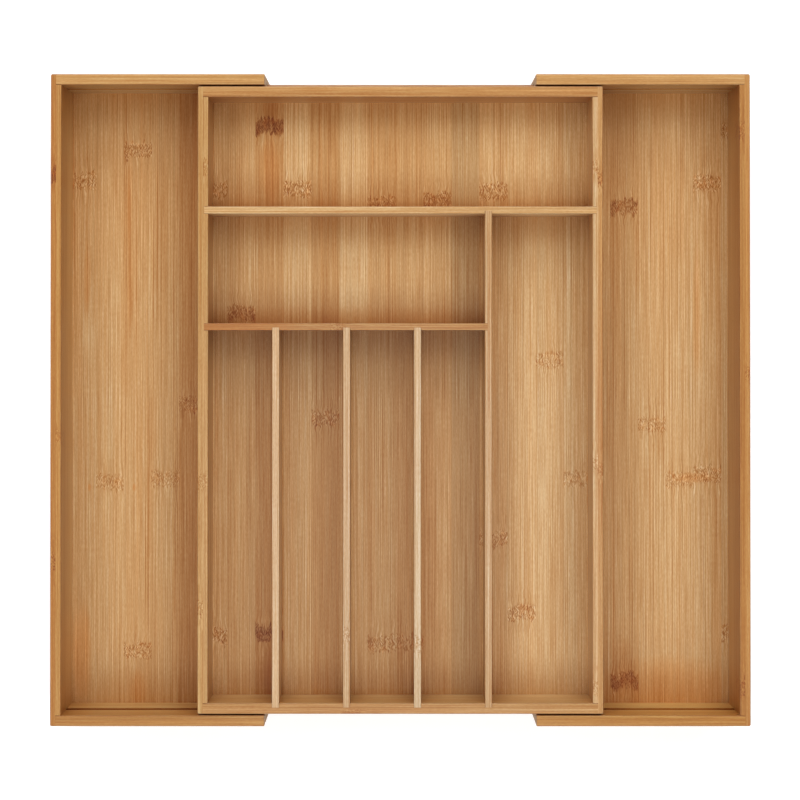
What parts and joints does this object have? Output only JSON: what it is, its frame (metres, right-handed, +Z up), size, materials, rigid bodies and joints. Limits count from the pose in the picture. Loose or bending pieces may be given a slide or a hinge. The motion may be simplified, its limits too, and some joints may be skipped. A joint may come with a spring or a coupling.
{
  "type": "drawer organizer insert",
  "caption": "Expanding bamboo drawer organizer: a compartmented centre tray with a wing on each side that slides outwards to fill the drawer.",
  "frame": {"origin": "middle of the underside, with both wings pulled out", "axes": "+X to the right along the slides, +Y to the back of the drawer, +Z up"},
  "size_m": [0.483, 0.45, 0.062],
  "materials": {
    "bamboo_frame": "satin clear lacquer over honey-coloured bamboo",
    "bamboo_divider": "satin clear lacquer over pale bamboo",
    "bamboo_floor": "satin clear lacquer over laminated bamboo strips with visible nodes",
    "bamboo_rail": "planed bamboo, satin"
  },
  "bodies": {
    "centre_tray": {"centre_floor": "bamboo_floor", "centre_left_wall": "bamboo_frame", "centre_right_wall": "bamboo_frame", "centre_back_wall": "bamboo_frame", "centre_front_wall": "bamboo_frame", "back_divider": "bamboo_divider", "middle_divider": "bamboo_divider", "long_divider": "bamboo_divider", "slot_divider_1": "bamboo_divider", "slot_divider_2": "bamboo_divider", "slot_divider_3": "bamboo_divider", "back_rail": "bamboo_rail", "front_rail": "bamboo_rail"},
    "left_wing": {"left_wing_floor": "bamboo_floor", "left_wing_side_wall": "bamboo_frame", "left_wing_back_arm": "bamboo_frame", "left_wing_front_arm": "bamboo_frame"},
    "right_wing": {"right_wing_floor": "bamboo_floor", "right_wing_side_wall": "bamboo_frame", "right_wing_back_arm": "bamboo_frame", "right_wing_front_arm": "bamboo_frame"}
  },
  "joints": [
    {"name": "left_wing_slide", "type": "slide", "parent": "centre_tray", "child": "left_wing", "axis": [1, 0, 0], "range_m": [0, 0.0935]},
    {"name": "right_wing_slide", "type": "slide", "parent": "centre_tray", "child": "right_wing", "axis": [-1, 0, 0], "range_m": [0, 0.0935]}
  ]
}
